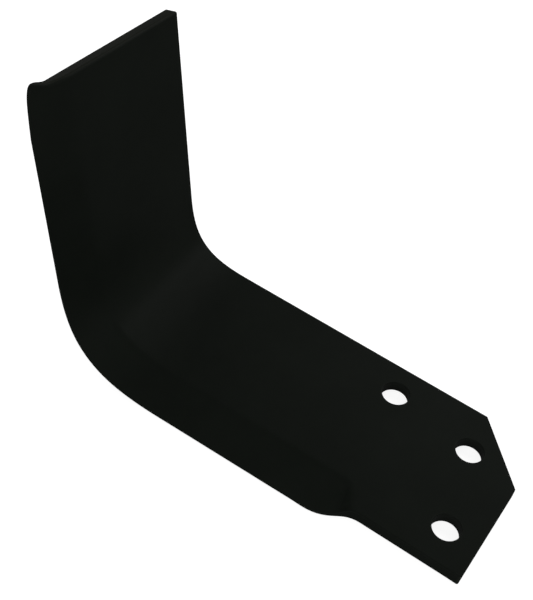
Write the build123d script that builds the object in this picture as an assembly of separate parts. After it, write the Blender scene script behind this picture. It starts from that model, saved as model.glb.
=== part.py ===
from build123d import *
import math
import os

# Rotary tiller blade: one bar of spring steel, bent to an L, with one long edge drawn out to a cutting bevel.
# All sizes are in millimetres. Lengths along the bar are taken from its bolt end, before bending.
# The blank is drawn flat, lying on z = 0 with its centre line on y = 0, and is then folded to its bend.
# The finished part has its origin at the corner bolt hole, on the back face that is clamped to the rotor.
# +X runs from the bolt end to the bend, +Y towards the cutting edge, +Z out of the concave face.

# Bar stock
bar_width = 90.0
bar_thickness = 6.3
blank_length = 342.5
rolled_edge_radius = 0.8

# Bolt end: square, with the corner on the trailing side clipped off
clip_along = 30.0
clip_across = 31.0

# Bolt holes: distances from the square end and from the bar's nearer long edge
hole_diameter = 14.5
corner_hole_from_end = 27.8
corner_hole_from_trailing = 24.7
front_hole_from_end = 17.0
front_hole_from_leading = 19.5
rear_hole_from_end = 73.7
rear_hole_from_trailing = 17.1

# Cutting edge: drawn out past the bar's own edge, and bevelled from the concave face only. A pull is the
# share of a curve's length over which it holds the direction that it starts or ends in.
step_start_from_end = 51.0
step_length = 26.5
step_foot_pull = 0.42
step_head_pull = 0.58
step_head_droop = 0.3
edge_spread = 9.4
edge_flare_angle = 1.0
bevel_width = 22.0
edge_land = 1.6
bevel_start_from_end = 65.0
bevel_start_slant = 32.0
run_out_slope = 45.0

# Bend: its fold lines fan out from one point on the trailing side, so that its radius grows towards the
# cutting edge. It is tightest in the middle, by this share over its mean, and as much slacker at both ends.
bend_from_end = 205.7
bend_length = 72.5
bend_angle = 77.0
bend_skew = 3.45
bend_tightening = 0.63
fold_lines_meet = 313.0
fold_count = 24

# Tip: sheared square, with the drawn-out edge spread a little past it
tip_corner_radius = 1.2
ear_length = 2.25
ear_width = 14.5
ear_rounding = 5.8
ear_rounding_pull = 0.7
ear_fade = 24.0
ear_fade_pull = 0.6
ear_hollow = 0.9

# Working values
past = 5.0
bar_half = bar_width / 2
flare = math.tan(math.radians(edge_flare_angle))
run_start = step_start_from_end + step_length + past
run_end = blank_length + ear_length + past

# The fold lines' common point lies in the middle of the bar's thickness
fan = math.degrees(bend_length / fold_lines_meet)
middle_line = Vector(0, 1, 0).rotate(Axis.Z, bend_skew)
meeting_point = Vector(bend_from_end, 0, bar_thickness / 2) - middle_line * fold_lines_meet


def edge_y(x):
    """The drawn-out edge's distance from the centre line, where it flares past the bolt end."""
    return bar_half + edge_spread + flare * (x - run_start)


def border_y(x):
    """The distance from the centre line of the border where the bevel starts."""
    return edge_y(x) - bevel_width


def bar_section(plane, trailing, border, edge):
    """Section of the bevelled bar: flat back, rolled edge, and the bevel down to the cutting edge's land."""
    r = rolled_edge_radius
    t = bar_thickness
    with BuildSketch(plane) as section:
        with BuildLine():
            Line((trailing + r, 0), (edge - r, 0))
            RadiusArc((edge - r, 0), (edge, r), -r)
            Line((edge, r), (edge, edge_land))
            Line((edge, edge_land), (border, t))
            Line((border, t), (trailing + r, t))
            RadiusArc((trailing + r, t), (trailing, t - r), -r)
            Line((trailing, t - r), (trailing, r))
            RadiusArc((trailing, r), (trailing + r, 0), -r)
        make_face()
    return section.sketch.face().outer_wire()


def square_section(x):
    """The section square to the bar's length."""
    plane = Plane(origin=(x, 0, 0), x_dir=(0, 1, 0), z_dir=(1, 0, 0))
    return bar_section(plane, -bar_half, border_y(x), edge_y(x))


def fold_line(fold):
    """Direction of a fold line on the flat blank, from the first, 0, to the last, fold_count."""
    return middle_line.rotate(Axis.Z, fan * (0.5 - fold / fold_count))


def fold_section(fold):
    """The section along a fold line, on the flat blank."""
    line = fold_line(fold)

    def reach(y_at_end, slope):
        """Distance from the meeting point, along this line, to a long edge of the flat blank."""
        return (y_at_end + slope * meeting_point.X - meeting_point.Y) / (line.Y - slope * line.X)

    plane = Plane(origin=(meeting_point.X, meeting_point.Y, 0), x_dir=line, z_dir=line.cross(Vector(0, 0, 1)))
    return bar_section(plane, reach(-bar_half, 0), reach(border_y(0), flare), reach(edge_y(0), flare))


def turned(fold):
    """How far the bar has turned up to this fold line."""
    share = fold / fold_count
    return bend_angle * (share - bend_tightening * math.sin(math.tau * share) / math.tau)


def folded(shape, folds):
    """Carries what lies flat past this many folds to its place, by folding from the last back to the first."""
    for fold in reversed(range(folds)):
        line = Axis(meeting_point, fold_line(fold + 0.5))
        shape = shape.rotate(line, turned(fold) - turned(fold + 1))
    return shape


def bevel_cutter():
    """What the bevel takes off the bolt end: a wedge that stops at a slanted, sloping run-out."""
    fall = bar_thickness - edge_land
    outer = bevel_width + past
    border = border_y(run_start)
    with BuildSketch(Plane(origin=(0, border, bar_thickness), x_dir=(0, 1, 0), z_dir=(1, 0, 0))) as profile:
        Polygon((0, 0), (outer, -fall * outer / bevel_width), (outer, past), (0, past), align=None)
    wedge = extrude(profile.sketch, run_start + past)
    slant = math.radians(bevel_start_slant)
    facing = Vector(math.cos(slant), math.sin(slant), 1 / math.tan(math.radians(run_out_slope)))
    start = Vector(bevel_start_from_end, border, bar_thickness)
    return split(wedge, bisect_by=Plane(origin=start, z_dir=facing), keep=Keep.TOP)


def bolt_holes():
    """The three bolt holes, as the rods that cut them."""
    with BuildSketch() as circles:
        with Locations((corner_hole_from_end, corner_hole_from_trailing - bar_half),
                       (front_hole_from_end, bar_half - front_hole_from_leading),
                       (rear_hole_from_end, rear_hole_from_trailing - bar_half)):
            Circle(hole_diameter / 2)
    return extrude(circles.sketch, bar_thickness)


def bolt_end():
    """The shank up to the straight run: clipped corner, bolt holes, step in the edge and the bevel's start."""
    step_start = Vector(step_start_from_end, bar_half)
    step_end = Vector(step_start_from_end + step_length, edge_y(run_start))
    foot = Vector(step_length * step_foot_pull, 0)
    head = Vector(step_length * step_head_pull, step_head_droop)
    with BuildSketch() as outline:
        with BuildLine():
            Polyline(step_end, (run_start, step_end.Y), (run_start, -bar_half), (clip_along, -bar_half),
                     (0, clip_across - bar_half), (0, bar_half), step_start)
            Bezier(step_start, step_start + foot, step_end - head, step_end)
        make_face()
    plate = extrude(outline.sketch, bar_thickness)
    plate = fillet(plate.edges().filter_by(Axis.X), rolled_edge_radius)
    return plate - bevel_cutter() - bolt_holes()


def shank_run():
    """The straight run of the shank, from square across the bar to the slanted line where the bend starts."""
    return Solid.make_loft([square_section(run_start), fold_section(0)], ruled=True)


def bend():
    """The bend: the bar's section along each of the fold lines, carried to its place."""
    return Solid.make_loft([folded(fold_section(fold), fold) for fold in range(fold_count + 1)])


def tip_trim():
    """What the shears leave past the tip: a square end, and the ear where the drawn-out edge has spread."""
    ear_x = blank_length + ear_length
    ear_start = Vector(blank_length, edge_y(blank_length) - ear_width)
    corner = Vector(ear_x, edge_y(ear_x) - ear_rounding)
    corner_end = Vector(ear_x - ear_fade, edge_y(ear_x - ear_fade))
    swell = Vector(0, ear_width - ear_rounding) / 3
    round_in = Vector(0, ear_rounding * ear_rounding_pull)
    fade_out = Vector(ear_fade * ear_fade_pull, -ear_hollow)
    arc_start = Vector(blank_length - tip_corner_radius, -bar_half)
    arc_end = Vector(blank_length, tip_corner_radius - bar_half)
    below = -bar_half - past
    above = edge_y(run_end) + past
    with BuildSketch() as outline:
        with BuildLine():
            RadiusArc(arc_start, arc_end, -tip_corner_radius)
            Line(arc_end, ear_start)
            Bezier(ear_start, ear_start + swell, corner - swell, corner)
            Bezier(corner, corner + round_in, corner_end + fade_out, corner_end)
            Polyline(corner_end, (corner_end.X, above), (run_end + past, above), (run_end + past, below),
                     (arc_start.X, below), arc_start)
        make_face()
    return extrude(outline.sketch, bar_thickness)


def upright():
    """The cutting wing past the bend: made flat, then carried up by all the folds."""
    flat = Solid.make_loft([fold_section(fold_count), square_section(run_end)], ruled=True) - tip_trim()
    return folded(flat, fold_count)


def tiller_blade():
    """The whole blade, set with its corner bolt hole on the origin."""
    blade = bolt_end() + shank_run() + bend() + upright()
    return Pos(-corner_hole_from_end, bar_half - corner_hole_from_trailing, 0) * blade


os.makedirs("parts", exist_ok=True)
export_step(tiller_blade(), "parts/tiller_blade.step")
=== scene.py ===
import math

import bmesh
import bpy
from mathutils import Matrix, Quaternion, Vector, kdtree, noise
from mathutils.geometry import delaunay_2d_cdt


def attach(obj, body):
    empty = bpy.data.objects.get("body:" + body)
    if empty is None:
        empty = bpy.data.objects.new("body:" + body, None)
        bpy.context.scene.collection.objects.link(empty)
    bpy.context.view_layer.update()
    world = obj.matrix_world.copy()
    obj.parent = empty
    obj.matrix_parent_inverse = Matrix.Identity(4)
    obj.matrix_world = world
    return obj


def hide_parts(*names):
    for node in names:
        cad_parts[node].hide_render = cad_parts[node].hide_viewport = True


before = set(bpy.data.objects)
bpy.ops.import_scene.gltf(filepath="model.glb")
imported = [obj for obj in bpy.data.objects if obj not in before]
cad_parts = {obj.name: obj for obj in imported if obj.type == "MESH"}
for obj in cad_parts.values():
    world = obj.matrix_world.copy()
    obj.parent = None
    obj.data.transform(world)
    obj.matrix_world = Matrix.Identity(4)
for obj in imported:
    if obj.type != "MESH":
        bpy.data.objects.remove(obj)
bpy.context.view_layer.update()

# Rotary tiller blade, painted black. The blade is made as a smith would make it: a flat blank is cut,
# holed and bevelled, and is then folded to its bend. Blank sizes are in millimetres, with x from the
# bolt end and y from the bar's centre line. Those that the CAD part has too are the same here.

MM = 0.001
BLADE_NODE = "tiller_blade"

# Bar and its cutting edge. A pull is the share of a curve's length over which it holds the direction
# that it starts or ends in.
BAR_HALF = 45.0
THICKNESS = 6.3
BLANK_LENGTH = 342.5
STEP_START = 51.0
STEP_LENGTH = 26.5
STEP_END = STEP_START + STEP_LENGTH
STEP_FOOT_PULL = 0.42
STEP_HEAD_PULL = 0.58
STEP_HEAD_DROOP = 0.3
RUN_START = 82.5
EDGE_SPREAD = 9.4
EDGE_FLARE = math.tan(math.radians(1.0))
BEVEL_WIDTH = 22.0
EDGE_LAND = 1.6
BEVEL_SLOPE = (THICKNESS - EDGE_LAND) / BEVEL_WIDTH
RUN_OUT_START = 65.0
RUN_OUT_SLANT = math.radians(32.0)

# What the forging die leaves and the CAD part hasn't: a gentler wall at the bevel's run-out, and a small
# step pressed along its border, which dies out over this length past the middle of the bend
RUN_OUT_SLOPE = math.tan(math.radians(31.0))
PRESSED_STEP = 0.32
PRESSED_WIDTH = 1.8
SOFTER_OVER = 75.0

# Bolt end and tip
CLIP_ALONG = 30.0
CLIP_ACROSS = 31.0
BOLT_END_CORNER = 1.0
HOLE_RADIUS = 7.25
PAINT_IN_HOLE = 0.2
BOLT_HOLES = (Vector((27.8, -20.3)), Vector((17.0, 25.5)), Vector((73.7, -27.9)))
TIP_CORNER = 1.2
EAR_LENGTH = 2.25
EAR_WIDTH = 14.5
EAR_ROUNDING = 5.8
EAR_ROUNDING_PULL = 0.7
EAR_FADE = 24.0
EAR_FADE_PULL = 0.6
EAR_HOLLOW = 0.9

# Bend, with fold lines that fan out from one point, and tightest in the middle
BEND_AT = 205.7
BEND_LENGTH = 72.5
BEND_ANGLE = math.radians(77.0)
BEND_SKEW = math.radians(3.45)
BEND_TIGHTENING = 0.63
FOLD_LINES_MEET = 313.0
FAN = BEND_LENGTH / FOLD_LINES_MEET
FOLD_COUNT = 48

# Roundings under the paint, on the concave side and on the back, of edges that were rolled, drawn out,
# sheared or punched
ROLLED = (0.8, 0.8)
DRAWN = (0.35, 0.8)
SHEARED = (0.7, 0.4)
SHEARED_TIP = (1.6, 0.4)
PUNCHED = (0.5, 0.2)

# How softly the creases of the bevel's border and of its run-out are rounded
CREASE = 0.4
RUN_OUT_CREASE = 0.35

# Unevenness of the surfaces: slow waves from rolling, and closer ones where the bevel was hammered out,
# which fade in along and across the blank. Wave lengths are along and across it. The back has a share.
ROLLING_DEPTH = 0.05
ROLLING_WAVES = (34.0, 26.0)
HAMMERED_DEPTH = 0.14
HAMMERED_WAVES = (13.0, 30.0)
HAMMERED_FROM = 62.0
HAMMERED_FADE = 20.0
HAMMERED_BEFORE_BORDER = 4.0
HAMMERED_FADE_ACROSS = 12.0
BACK_SHARE = 0.6

# Where in the noise the waves are read, so that no two sets of them are alike
FACE_WAVES_AT = 0
BACK_WAVES_AT = 20
HAMMERED_WAVES_APART = 7

# The painted surfaces, in the order of the blade's material slots
FACE, CUT_SIDE, HOLE_WALL = range(3)

# Mesh: the spacing of its points along the edges, over the faces, and in the rows that cross the creases
EDGE_SPACING = 2.0
FINE_SPACING = 1.2
LEAST_CURVE_POINTS = 4
HOLE_SIDES = 48
GRID_SPACING = 2.5
GRID_PAST_BAR = 18.0
BORDER_ROWS_FROM = RUN_OUT_START + 1.0
BORDER_ROWS_TO = BLANK_LENGTH - 2.0
BORDER_SPACING = 2.0
ACROSS_BORDER = (-2.2, -1.1, 0.0, 1.1, 2.2, 3.3)
RUN_OUT_SPACING = 1.6
RUN_OUT_ROWS = 15
BESIDE_WALL = 0.5
WITHIN_WALL = 0.3
NARROW_WALL = 1.2
NEAR_WALL_TOP = 0.2

# Mesh: the gaps that keep slivers out, between edges, creases and grid
GRID_TO_EDGE = 1.7
CREASE_TO_EDGE = 1.3
GRID_TO_CREASE = 1.5
MERGED_WITHIN = 1e-5

# Mesh: the roundings of its edges, which take up no more than this share of the thickness
ROUND_STEPS = 4
ROUND_TURNS = [math.pi / 2 * i / ROUND_STEPS for i in range(ROUND_STEPS + 1)]
ROUNDED_SHARE = 0.85
WALL_CUTS = (0.12, 0.88)
RING_MARGIN = 0.15
ROUNDING_BLENDS = 3

# Mesh: two triangles become one cell where they lie this flat and it comes this near to a square
FLAT_ENOUGH = math.radians(25)
SQUARE_ENOUGH = math.radians(30)


def edge_y(x):
    """The drawn-out edge's distance from the centre line."""
    return BAR_HALF + EDGE_SPREAD + EDGE_FLARE * max(x - RUN_START, 0.0)


def border_y(x):
    """The distance from the centre line of the border where the bevel starts."""
    return edge_y(x) - BEVEL_WIDTH


def soft_max(a, b, softness):
    """The larger of two heights, with the crease between them rounded over this softness."""
    blend = max(softness - abs(a - b), 0.0) / softness
    return max(a, b) + blend * blend * softness / 4


def held(value):
    """The value, held between 0 and 1."""
    return min(max(value, 0.0), 1.0)


def smooth_step(value):
    """Runs smoothly from 0 to 1 as the value does."""
    share = held(value)
    return share * share * (3 - 2 * share)


def waves(x, y, lengths, at):
    """Smooth random waves between 0 and 1, with these lengths along and across the blank."""
    return 0.5 + 0.5 * noise.noise(Vector((x / lengths[0], y / lengths[1], at)))


def unevenness(x, y, at):
    """How far the surface lies under the true face, from hot rolling and from drawing out the bevel."""
    hammered = held((y - border_y(x) + HAMMERED_BEFORE_BORDER) / HAMMERED_FADE_ACROSS)
    hammered *= held((x - HAMMERED_FROM) / HAMMERED_FADE)
    rolling = ROLLING_DEPTH * waves(x, y, ROLLING_WAVES, at)
    return rolling + HAMMERED_DEPTH * hammered * waves(x, y, HAMMERED_WAVES, at + HAMMERED_WAVES_APART)


def bevel_depth(x, past_border):
    """Depth of the bevel under the bar's face: a slope, with the small step pressed along its border.

    Past the bend the step dies out and the border grows softer.
    """
    past_bend = smooth_step((x - BEND_AT) / SOFTER_OVER)
    crease = CREASE * (1 + past_bend)
    slope = BEVEL_SLOPE * soft_max(past_border, 0.0, crease / BEVEL_SLOPE)
    fade = max(1 - past_border / BEVEL_WIDTH, 0.0) * (1 - past_bend)
    return slope + PRESSED_STEP * smooth_step(past_border / PRESSED_WIDTH) * fade


def face_height(x, y):
    """Height of the concave face over the flat blank: the bar's face, the bevel and its run-out."""
    past_border = y - border_y(x)
    past_start = (x - RUN_OUT_START) * math.cos(RUN_OUT_SLANT) + past_border * math.sin(RUN_OUT_SLANT)
    run_out = RUN_OUT_SLOPE * soft_max(past_start, 0.0, RUN_OUT_CREASE / RUN_OUT_SLOPE)
    depth = max(-soft_max(-bevel_depth(x, past_border), -run_out, RUN_OUT_CREASE), 0.0)
    return THICKNESS - depth - unevenness(x, y, FACE_WAVES_AT)


def back_height(x, y):
    """Height of the back face, which lies on the rotor flange."""
    return unevenness(x, y, BACK_WAVES_AT) * BACK_SHARE


def straight(start, end):
    """Points along a straight side of the blank, without its end."""
    count = max(1, round((end - start).length / EDGE_SPACING))
    return [start.lerp(end, i / count) for i in range(count)]


def curved(start, pull_start, pull_end, end, spacing=EDGE_SPACING):
    """Points along a curved side of the blank, without its end."""
    count = max(LEAST_CURVE_POINTS, round((end - start).length / spacing))
    points = []
    for i in range(count):
        u = i / count
        v = 1 - u
        points.append(v ** 3 * start + 3 * v * v * u * pull_start + 3 * v * u * u * pull_end + u ** 3 * end)
    return points


def corner(before, at, after, radius):
    """Points that round a corner of the blank, with the arc's two ends."""
    back = (before - at).normalized()
    on = (after - at).normalized()
    half = back.angle(on) / 2
    reach = radius / math.tan(half)
    start = at + back * reach
    end = at + on * reach
    middle = at + (back + on).normalized() * (radius / math.sin(half) - radius)
    pull = middle * 2 - (start + end) / 2
    return [(1 - u) ** 2 * start + 2 * (1 - u) * u * pull + u * u * end for u in (0, 0.25, 0.5, 0.75, 1)]


def blank_outline():
    """The blank's outline, anticlockwise: its points, the roundings there and the surface of its side."""
    clip_low = Vector((CLIP_ALONG, -BAR_HALF))
    clip_high = Vector((0, CLIP_ACROSS - BAR_HALF))
    bolt_corner = Vector((0, BAR_HALF))
    step_start = Vector((STEP_START, BAR_HALF))
    step_end = Vector((STEP_END, edge_y(STEP_END)))
    step_foot = Vector((STEP_LENGTH * STEP_FOOT_PULL, 0))
    step_head = Vector((STEP_LENGTH * STEP_HEAD_PULL, STEP_HEAD_DROOP))
    tip_trailing = Vector((BLANK_LENGTH, -BAR_HALF))
    ear_x = BLANK_LENGTH + EAR_LENGTH
    ear_start = Vector((BLANK_LENGTH, edge_y(BLANK_LENGTH) - EAR_WIDTH))
    ear_corner = Vector((ear_x, edge_y(ear_x) - EAR_ROUNDING))
    ear_end = Vector((ear_x - EAR_FADE, edge_y(ear_x - EAR_FADE)))
    swell = Vector((0, (EAR_WIDTH - EAR_ROUNDING) / 3))
    round_in = Vector((0, EAR_ROUNDING * EAR_ROUNDING_PULL))
    fade_out = Vector((EAR_FADE * EAR_FADE_PULL, -EAR_HOLLOW))
    run_start = Vector((RUN_START, edge_y(RUN_START)))

    tip_arc = corner(clip_low, tip_trailing, ear_start, TIP_CORNER)
    bolt_arc = corner(step_start, bolt_corner, clip_high, BOLT_END_CORNER)
    high_arc = corner(bolt_corner, clip_high, clip_low, BOLT_END_CORNER)
    low_arc = corner(clip_high, clip_low, tip_trailing, BOLT_END_CORNER)
    sides = (
        (straight(low_arc[-1], tip_arc[0]), ROLLED),
        (tip_arc[:-1], SHEARED),
        (straight(tip_arc[-1], ear_start), SHEARED_TIP),
        (curved(ear_start, ear_start + swell, ear_corner - swell, ear_corner), SHEARED_TIP),
        (curved(ear_corner, ear_corner + round_in, ear_end + fade_out, ear_end, FINE_SPACING), DRAWN),
        (straight(ear_end, run_start), DRAWN),
        (straight(run_start, step_end), DRAWN),
        (curved(step_end, step_end - step_head, step_start + step_foot, step_start), ROLLED),
        (straight(step_start, bolt_arc[0]), ROLLED),
        (bolt_arc[:-1], SHEARED),
        (straight(bolt_arc[-1], high_arc[0]), SHEARED),
        (high_arc[:-1], SHEARED),
        (straight(high_arc[-1], low_arc[0]), SHEARED),
        (low_arc[:-1], SHEARED),
    )
    points = [point for side, _ in sides for point in side]
    rounding = [Vector(pair) for side, pair in sides for _ in side]
    surfaces = [CUT_SIDE if pair in (SHEARED, SHEARED_TIP) else FACE for side, pair in sides for _ in side]
    for _ in range(ROUNDING_BLENDS):
        rounding = [(rounding[i - 1] + rounding[i] + rounding[(i + 1) % len(rounding)]) / 3
                    for i in range(len(rounding))]
    return points, rounding, surfaces


def hole_outline(centre):
    """A bolt hole's outline, clockwise, so that the steel lies on its left as it does for the blank."""
    points = [centre + Vector((math.cos(turn), -math.sin(turn))) * (HOLE_RADIUS - PAINT_IN_HOLE)
              for turn in (math.tau * i / HOLE_SIDES for i in range(HOLE_SIDES))]
    return points, [Vector(PUNCHED)] * HOLE_SIDES, [HOLE_WALL] * HOLE_SIDES


# The fold lines' common point lies in the middle of the bar's thickness
MIDDLE_LINE = Matrix.Rotation(BEND_SKEW, 3, "Z") @ Vector((0, FOLD_LINES_MEET, 0))
MEETING_POINT = Vector((BEND_AT, 0, THICKNESS / 2)) - MIDDLE_LINE
FIRST_BEARING = -BEND_SKEW - FAN / 2
TO_BOLT_HOLE = Vector((-BOLT_HOLES[0].x, -BOLT_HOLES[0].y, 0))


def turned(share):
    """How far the bar has turned after this share of the bend."""
    return BEND_ANGLE * (share - BEND_TIGHTENING * math.sin(math.tau * share) / math.tau)


def bend_turns():
    """The whole turn of the bar after each fold of the bend."""
    turns = [Quaternion()]
    for fold in range(FOLD_COUNT):
        bearing = FIRST_BEARING + FAN * (fold + 0.5) / FOLD_COUNT
        line = Vector((math.sin(bearing), math.cos(bearing), 0))
        angle = turned((fold + 1) / FOLD_COUNT) - turned(fold / FOLD_COUNT)
        turns.append(turns[-1] @ Quaternion(line, -angle))
    return turns


BEND_TURNS = bend_turns()


def folded(point):
    """Where a point of the flat blank is once the bar is bent, in metres from the corner bolt hole."""
    arm = point - MEETING_POINT
    passed = (math.atan2(arm.x, arm.y) - FIRST_BEARING) / FAN * FOLD_COUNT
    passed = min(max(passed, 0.0), FOLD_COUNT)
    fold = min(int(passed), FOLD_COUNT - 1)
    turn = BEND_TURNS[fold].slerp(BEND_TURNS[fold + 1], passed - fold)
    return (MEETING_POINT + turn @ arm + TO_BOLT_HOLE) * MM


def edge_column(point, inward, rounding):
    """Flat-blank points across the edge at one place, from the concave face round its side to the back."""
    thick = face_height(point.x, point.y) - back_height(point.x, point.y)
    top_round, back_round = rounding * min(ROUNDED_SHARE * thick / sum(rounding), 1.0)
    column = []

    def add(inset, height_of, drop):
        place = point + inward * inset
        column.append((place.x, place.y, height_of(place.x, place.y) + drop))

    add(top_round + RING_MARGIN, face_height, 0.0)
    for turn in ROUND_TURNS:
        add(top_round * (1 - math.sin(turn)), face_height, -top_round * (1 - math.cos(turn)))
    high = column[-1][2]
    low = back_height(point.x, point.y) + back_round
    for share in WALL_CUTS:
        column.append((point.x, point.y, high + (low - high) * share))
    for turn in reversed(ROUND_TURNS):
        add(back_round * (1 - math.sin(turn)), back_height, back_round * (1 - math.cos(turn)))
    add(back_round + RING_MARGIN, back_height, 0.0)
    return column


def edge_rings(points, rounding):
    """The rings of flat-blank points round an outline, from the concave face to the back."""
    columns = []
    for i, point in enumerate(points):
        along = (points[(i + 1) % len(points)] - points[i - 1]).normalized()
        columns.append(edge_column(point, Vector((-along.y, along.x)), rounding[i]))
    return list(zip(*columns))


def run_out_points():
    """Points on both sides of the run-out's upper and lower crease, but only at the top of a narrow wall."""
    points = []
    slope_start = Vector((RUN_OUT_START, border_y(RUN_OUT_START)))
    along_run_out = Vector((-math.sin(RUN_OUT_SLANT), math.cos(RUN_OUT_SLANT)))
    across = Vector((math.cos(RUN_OUT_SLANT), math.sin(RUN_OUT_SLANT)))
    for row in range(1, RUN_OUT_ROWS + 1):
        on_line = slope_start + along_run_out * (row * RUN_OUT_SPACING)
        wall = bevel_depth(on_line.x, on_line.y - border_y(on_line.x)) / RUN_OUT_SLOPE
        places = (-BESIDE_WALL, WITHIN_WALL, wall - WITHIN_WALL, wall + BESIDE_WALL)
        kept = [place for place in places if place < NEAR_WALL_TOP or wall > NARROW_WALL]
        points += [on_line + across * place for place in kept]
    return points


def border_points():
    """Rows of points across the bevel's border."""
    count = int((BORDER_ROWS_TO - BORDER_ROWS_FROM) / BORDER_SPACING) + 1
    rows = [BORDER_ROWS_FROM + BORDER_SPACING * row for row in range(count)]
    return [Vector((x, border_y(x) + beside)) for x in rows for beside in ACROSS_BORDER]


def tree_of(points):
    """A search tree over points of the flat blank."""
    tree = kdtree.KDTree(len(points))
    for i, point in enumerate(points):
        tree.insert(point.to_3d(), i)
    tree.balance()
    return tree


def inner_points(boundary):
    """Points inside the blank's outline that keep clear of its edges and holes, and follow its creases."""
    edges = tree_of(boundary)

    def clear(point, gap):
        if any((point - hole).length < HOLE_RADIUS + gap for hole in BOLT_HOLES):
            return False
        if point.y > edge_y(point.x) or not 0 <= point.x <= BLANK_LENGTH:
            return False
        if point.x / CLIP_ALONG + (point.y + BAR_HALF) / CLIP_ACROSS < 1:
            return False
        if point.x < STEP_END and point.y > BAR_HALF - gap:
            return False
        return edges.find(point.to_3d())[2] > gap

    creases = [point for point in run_out_points() + border_points() if clear(point, CREASE_TO_EDGE)]
    crease_tree = tree_of(creases)
    grid = []
    for i in range(int(BLANK_LENGTH / GRID_SPACING) + 1):
        for j in range(int((2 * BAR_HALF + GRID_PAST_BAR) / GRID_SPACING) + 1):
            point = Vector((i * GRID_SPACING, j * GRID_SPACING - BAR_HALF))
            if clear(point, GRID_TO_EDGE) and crease_tree.find(point.to_3d())[2] > GRID_TO_CREASE:
                grid.append(point)
    return creases + grid


def add_edge(bm, points, rounding, surfaces):
    """Builds the rounded edge along one outline, and gives the loops where it meets the two broad faces."""
    rings = [[bm.verts.new(place) for place in ring] for ring in edge_rings(points, rounding)]
    half_round = ROUND_STEPS // 2
    for k, (upper, lower) in enumerate(zip(rings, rings[1:])):
        on_wall = half_round < k < len(rings) - 2 - half_round
        for i, surface in enumerate(surfaces):
            j = (i + 1) % len(surfaces)
            side_face = bm.faces.new((upper[i], lower[i], lower[j], upper[j]))
            side_face.material_index = surface if on_wall or surface == HOLE_WALL else FACE
    return rings[0], rings[-1]


def add_broad_face(bm, loops, inner, height_of):
    """Fills the concave face or the back, inside the blank's loop, outside those of the holes."""
    verts = [vert for loop in loops for vert in loop]
    verts += [bm.verts.new((point.x, point.y, height_of(point.x, point.y))) for point in inner]
    borders = []
    first = 0
    for loop in loops:
        borders += [(first + i, first + (i + 1) % len(loop)) for i in range(len(loop))]
        first += len(loop)
    flat = [vert.co.to_2d() for vert in verts]
    _, _, triangles, origin, _, _ = delaunay_2d_cdt(flat, borders, [], 1, MERGED_WITHIN)
    rims = [set(loop) for loop in loops[1:]]
    for triangle in triangles:
        made = [verts[origin[k][0]] for k in triangle]
        if not any(rim.issuperset(made) for rim in rims):
            bm.faces.new(made if height_of is face_height else made[::-1])


def blade_mesh():
    """The blade's whole skin: two broad faces of near-square cells, with rounded edges and hole walls."""
    outlines = [blank_outline()] + [hole_outline(hole) for hole in BOLT_HOLES]
    bm = bmesh.new()
    loops = [add_edge(bm, *outline) for outline in outlines]
    inner = inner_points([point for points, _, _ in outlines for point in points])
    for side, height_of in enumerate((face_height, back_height)):
        add_broad_face(bm, [pair[side] for pair in loops], inner, height_of)
    bmesh.ops.join_triangles(bm, faces=[face for face in bm.faces if len(face.verts) == 3],
                             angle_face_threshold=FLAT_ENOUGH, angle_shape_threshold=SQUARE_ENOUGH)
    blank_place = bm.verts.layers.float_vector.new("blank_place")
    for vert in bm.verts:
        vert[blank_place] = vert.co
        vert.co = folded(vert.co)
    for face in bm.faces:
        face.smooth = True
    mesh = bpy.data.meshes.new("painted_blade")
    bm.to_mesh(mesh)
    bm.free()
    return mesh


def add_to_scene(name, data):
    """A new object in the scene that shows this mesh, light or camera."""
    thing = bpy.data.objects.new(name, data)
    bpy.context.scene.collection.objects.link(thing)
    return thing


def add_node(tree, kind, sockets=None, **settings):
    """Adds a node whose sockets are given by name or number, each a plain value or another node's output."""
    made = tree.nodes.new(kind)
    for name, value in settings.items():
        setattr(made, name, value)
    for socket, value in (sockets or {}).items():
        if isinstance(value, bpy.types.NodeSocket):
            tree.links.new(value, made.inputs[socket])
        else:
            made.inputs[socket].default_value = value
    return made


def maths(tree, operation, *values):
    """The output of a Math node."""
    return add_node(tree, "ShaderNodeMath", dict(enumerate(values)), operation=operation).outputs[0]


def cloud(tree, place, size, detail=2.0, roughness=0.5):
    """Smooth noise about this many millimetres from patch to patch, around 0.5."""
    sized = maths(tree, "DIVIDE", 1.0, size)
    sockets = {"Vector": place, "Scale": sized, "Detail": detail, "Roughness": roughness}
    return add_node(tree, "ShaderNodeTexNoise", sockets).outputs["Fac"]


def mixed(tree, masks, shares):
    """The sum of these shares of the masks."""
    total = 0.0
    for mask, share in zip(masks, shares):
        total = maths(tree, "MULTIPLY_ADD", mask, share, total)
    return total


def swung(tree, mask, swing, middle):
    """A value that lies around this middle and swings with a mask, which is around 0.5."""
    return maths(tree, "MULTIPLY_ADD", maths(tree, "SUBTRACT", mask, 0.5), swing, middle)


def new_group(name, inputs, outputs):
    """An empty shader node group with its input values, and its two end nodes."""
    group = bpy.data.node_groups.new(name, "ShaderNodeTree")
    for title, (kind, value) in inputs.items():
        socket = group.interface.new_socket(title, in_out="INPUT", socket_type="NodeSocket" + kind)
        socket.default_value = value
    for title, kind in outputs.items():
        group.interface.new_socket(title, in_out="OUTPUT", socket_type="NodeSocket" + kind)
    return group, group.nodes.new("NodeGroupInput").outputs, group.nodes.new("NodeGroupOutput").inputs


# What the paint film holds, with sizes in millimetres, and each one's share in its tone and in its gloss
DRIFT_SIZE = 38.0
MOTTLE_SIZE = 7.0
PIGMENT_SIZE = 0.8
TONE_SHARES = (0.6, 0.28, 0.12)
GLOSS_SHARES = (0.5, 0.5)


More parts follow.
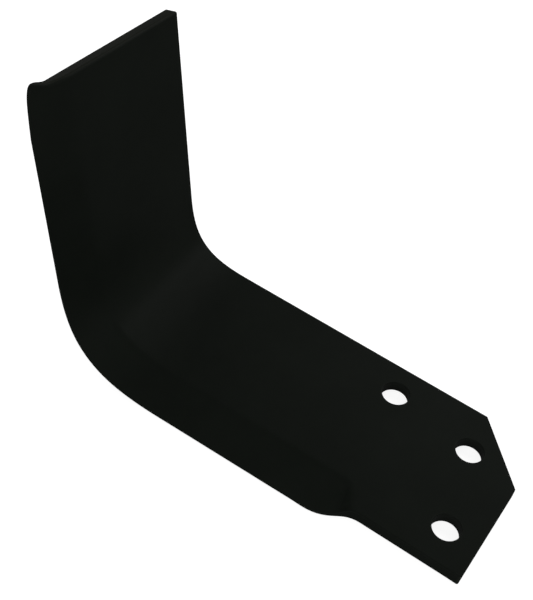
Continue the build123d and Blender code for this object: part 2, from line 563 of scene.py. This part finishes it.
def sprayed_paint():
    """Sprayed black paint: its slow drift in tone, fine pigment, orange peel and uneven gloss."""
    group, given, result = new_group(
        "sprayed_paint",
        {"Place": ("Vector", (0, 0, 0)), "Colour": ("Color", (0.006, 0.006, 0.006, 1)),
         "Tone Drift": ("Float", 0.6), "Peel Size": ("Float", 2.4), "Peel Depth": ("Float", 0.01),
         "Roughness": ("Float", 0.4), "Gloss Drift": ("Float", 0.1)},
        {"Colour": "Color", "Roughness": "Float", "Height": "Float"})
    drift = cloud(group, given["Place"], DRIFT_SIZE)
    mottle = cloud(group, given["Place"], MOTTLE_SIZE, detail=3.0)
    pigment = cloud(group, given["Place"], PIGMENT_SIZE, detail=1.0)
    tone = mixed(group, (drift, mottle, pigment), TONE_SHARES)
    strength = swung(group, tone, given["Tone Drift"], 1.0)
    toned = add_node(group, "ShaderNodeVectorMath", {0: given["Colour"], "Scale": strength},
                     operation="SCALE")
    gloss = mixed(group, (drift, mottle), GLOSS_SHARES)
    peel = cloud(group, given["Place"], given["Peel Size"], detail=1.0)
    group.links.new(toned.outputs["Vector"], result["Colour"])
    group.links.new(swung(group, gloss, given["Gloss Drift"], given["Roughness"]), result["Roughness"])
    group.links.new(maths(group, "MULTIPLY", peel, given["Peel Depth"]), result["Height"])
    return group


# The heights of the pits' noise where pits begin and where they are at their deepest
PITS_BEGIN = 0.56
PITS_DEEPEST = 0.72


def steel_marks():
    """Steel under paint: long marks from the rolls, shears or punch, and the pits that scale leaves."""
    group, given, result = new_group(
        "steel_marks",
        {"Place": ("Vector", (0, 0, 0)), "Grain": ("Vector", (0.03, 0.5, 0.5)), "Mark Depth": ("Float", 0.01),
         "Pit Size": ("Float", 1.6), "Pit Depth": ("Float", 0.01)},
        {"Height": "Float", "Pits": "Float"})
    stretched = add_node(group, "ShaderNodeVectorMath", {0: given["Place"], 1: given["Grain"]},
                         operation="MULTIPLY")
    marks = cloud(group, stretched.outputs["Vector"], 1.0, detail=3.0, roughness=0.6)
    patches = cloud(group, given["Place"], given["Pit Size"], detail=2.0, roughness=0.6)
    pits = add_node(group, "ShaderNodeMapRange",
                    {"Value": patches, "From Min": PITS_BEGIN, "From Max": PITS_DEEPEST},
                    interpolation_type="SMOOTHSTEP").outputs["Result"]
    sunk = maths(group, "MULTIPLY", pits, given["Pit Depth"])
    height = maths(group, "SUBTRACT", maths(group, "MULTIPLY", marks, given["Mark Depth"]), sunk)
    group.links.new(height, result["Height"])
    group.links.new(pits, result["Pits"])
    return group


PAINT_FILM = sprayed_paint()
STEEL = steel_marks()

# The paint on each surface. Peel depths are in millimetres.
FULL_PAINT = (0.0047, 0.0058, 0.0046, 1)
# The cut sides' colour is lighter than the faces': a painted sheen that stands in for the light their sheared
# ends catch.
PAINTED_SHEEN_COLOUR = (0.0075, 0.0085, 0.0066, 1)
FACE_PAINT = {"Colour": FULL_PAINT, "Roughness": 0.4, "Peel Depth": 0.012}
SIDE_PAINT_WITH_SHEEN = {"Colour": PAINTED_SHEEN_COLOUR, "Roughness": 0.48, "Peel Depth": 0.012}
HOLE_PAINT = {"Colour": FULL_PAINT, "Roughness": 0.5, "Peel Depth": 0.008}
CLEAR_FILM_ROUGHNESS = 0.42
DULLER_IN_PITS = 0.08

# How each kind of steel surface shows through the paint. Grain is in marks per millimetre along, across
# and through the blank, so the marks run the way that has the small number. Depths are in millimetres.
ROLLED_STEEL = {"Grain": (0.03, 0.45, 0.45), "Mark Depth": 0.014, "Pit Size": 1.7, "Pit Depth": 0.016}
SHEARED_STEEL = {"Grain": (0.8, 0.8, 0.3), "Mark Depth": 0.22, "Pit Size": 0.9, "Pit Depth": 0.01}
PUNCHED_STEEL = {"Grain": (0.9, 0.9, 0.05), "Mark Depth": 0.05, "Pit Size": 0.7, "Pit Depth": 0.02}


def black_paint(name, paint, steel, clear_film):
    """Semi-matte black paint over one kind of steel surface, with the thin clear film that lies on it."""
    material = bpy.data.materials.new(name)
    material.use_nodes = True
    tree = material.node_tree
    place = add_node(tree, "ShaderNodeAttribute", attribute_name="blank_place").outputs["Vector"]
    film = add_node(tree, "ShaderNodeGroup", node_tree=PAINT_FILM)
    under = add_node(tree, "ShaderNodeGroup", node_tree=STEEL)
    for group, values in ((film, paint), (under, steel)):
        tree.links.new(place, group.inputs["Place"])
        for title, value in values.items():
            group.inputs[title].default_value = value
    height = maths(tree, "ADD", film.outputs["Height"], under.outputs["Height"])
    relief = add_node(tree, "ShaderNodeBump", {"Height": height, "Distance": MM, "Strength": 1.0})
    dullness = maths(tree, "MULTIPLY_ADD", under.outputs["Pits"], DULLER_IN_PITS, film.outputs["Roughness"])
    shader = tree.nodes["Principled BSDF"]
    shader.inputs["Specular IOR Level"].default_value = 0.0
    shader.inputs["Coat Weight"].default_value = clear_film
    shader.inputs["Coat Roughness"].default_value = CLEAR_FILM_ROUGHNESS
    tree.links.new(film.outputs["Colour"], shader.inputs["Base Color"])
    tree.links.new(dullness, shader.inputs["Roughness"])
    tree.links.new(relief.outputs["Normal"], shader.inputs["Normal"])
    return material


blade = add_to_scene("painted_blade", blade_mesh())
for finish in (
    black_paint("black_paint_on_rolled_face", FACE_PAINT, ROLLED_STEEL, clear_film=0.03),
    # The sheared side's lighter colour is painted sheen.
    black_paint("black_paint_on_sheared_side", SIDE_PAINT_WITH_SHEEN, SHEARED_STEEL, clear_film=0.036),
    black_paint("black_paint_in_punched_hole", HOLE_PAINT, PUNCHED_STEEL, clear_film=0.05),
):
    blade.data.materials.append(finish)
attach(blade, "root")
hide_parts(BLADE_NODE)

# Studio: a white floor and white walls. A glow is how bright a surface looks where it is seen directly.
FLOOR_COLOUR = 0.3
FLOOR_ROUGHNESS = 0.9
FLOOR_GLOW = 0.87
FLOOR_REACH = 3.0
FLOOR_DROP = 0.0003
FLOOR_CORNERS = ((-1, -1), (1, -1), (1, 1), (-1, 1))
WALL_GLOW = 0.96
ROOM_LIGHT = 0.4

# Soft boxes around the blade, each given by its name, its height and bearing over the floor in degrees,
# from the +X side anticlockwise, its width and its watts
SOFT_BOXES = (
    ("back_box", 35, -90, 0.6, 6.0),
    ("bend_box", 28, -120, 0.45, 4.5),
    ("front_box", 18, 105, 0.6, 8.4),
    ("end_box", 18, -30, 0.6, 2.9),
    ("bolt_box", 18, -165, 0.6, 1.3),
)
BOX_DISTANCE = 1.3
BOXES_AIM = Vector((0.1, 0.02, 0.05))

# The photo's camera: its places are in metres, its lens and sensor in millimetres
CAMERA_PLACE = Vector((-0.04666, 0.34628, 0.43133))
CAMERA_AIM = Vector((0.10636, 0.03365, 0.06650))
CAMERA_ROLL = math.radians(10.575)
CAMERA_LENS = 66.409
CAMERA_SENSOR = 36
CAMERA_CLIP = 0.01


def seen_directly(tree):
    """1 for a ray that shows the background: from the camera, off a glossy surface or through glass."""
    ray = add_node(tree, "ShaderNodeLightPath").outputs
    seen = maths(tree, "MAXIMUM", ray["Is Camera Ray"], ray["Is Glossy Ray"])
    return maths(tree, "MAXIMUM", seen, ray["Is Transmission Ray"])


def floor_paint():
    """Matte white that glows where it is seen directly, but not enough to hide a faint shadow."""
    material = bpy.data.materials.new("white_floor")
    material.use_nodes = True
    tree = material.node_tree
    shader = tree.nodes["Principled BSDF"]
    shader.inputs["Base Color"].default_value = (FLOOR_COLOUR, FLOOR_COLOUR, FLOOR_COLOUR, 1)
    shader.inputs["Roughness"].default_value = FLOOR_ROUGHNESS
    shader.inputs["Specular IOR Level"].default_value = 0.0
    shader.inputs["Emission Color"].default_value = (1, 1, 1, 1)
    glow = maths(tree, "MULTIPLY", seen_directly(tree), FLOOR_GLOW)
    tree.links.new(glow, shader.inputs["Emission Strength"])
    return material


def studio_floor():
    """The floor, just under the blade's flange face."""
    mesh = bpy.data.meshes.new("studio_floor")
    corners = [(x * FLOOR_REACH, y * FLOOR_REACH, -FLOOR_DROP) for x, y in FLOOR_CORNERS]
    mesh.from_pydata(corners, [], [(0, 1, 2, 3)])
    mesh.materials.append(floor_paint())
    return add_to_scene("studio_floor", mesh)


def studio_walls():
    """White all round, which looks brighter where it is seen directly than it lights the blade."""
    world = bpy.data.worlds.new("studio")
    world.use_nodes = True
    tree = world.node_tree
    background = tree.nodes["Background"].inputs
    background["Color"].default_value = (1, 1, 1, 1)
    light = add_node(tree, "ShaderNodeMapRange",
                     {"Value": seen_directly(tree), "To Min": ROOM_LIGHT, "To Max": WALL_GLOW})
    tree.links.new(light.outputs["Result"], background["Strength"])
    return world


def soft_box(name, height, bearing, width, watts):
    """A square soft box that faces the blade."""
    height_turn = math.radians(height)
    bearing_turn = math.radians(bearing)
    level = math.cos(height_turn)
    outwards = Vector((level * math.cos(bearing_turn), level * math.sin(bearing_turn), math.sin(height_turn)))
    light = bpy.data.lights.new(name, "AREA")
    light.shape = "SQUARE"
    light.size = width
    light.energy = watts
    box = add_to_scene(name, light)
    box.location = BOXES_AIM + outwards * BOX_DISTANCE
    box.rotation_mode = "QUATERNION"
    box.rotation_quaternion = (-outwards).to_track_quat("-Z", "Y")


def photo_camera():
    """The camera that took the photo."""
    camera = add_to_scene("camera", bpy.data.cameras.new("camera"))
    camera.data.lens = CAMERA_LENS
    camera.data.sensor_width = CAMERA_SENSOR
    camera.data.clip_start = CAMERA_CLIP
    camera.location = CAMERA_PLACE
    camera.rotation_mode = "QUATERNION"
    towards_aim = (CAMERA_AIM - CAMERA_PLACE).to_track_quat("-Z", "Y")
    camera.rotation_quaternion = towards_aim @ Quaternion((0, 0, 1), CAMERA_ROLL)
    return camera


floor = studio_floor()
for box in SOFT_BOXES:
    soft_box(*box)
bpy.context.scene.world = studio_walls()
bpy.context.scene.camera = photo_camera()
bpy.context.scene.view_settings.view_transform = "Standard"
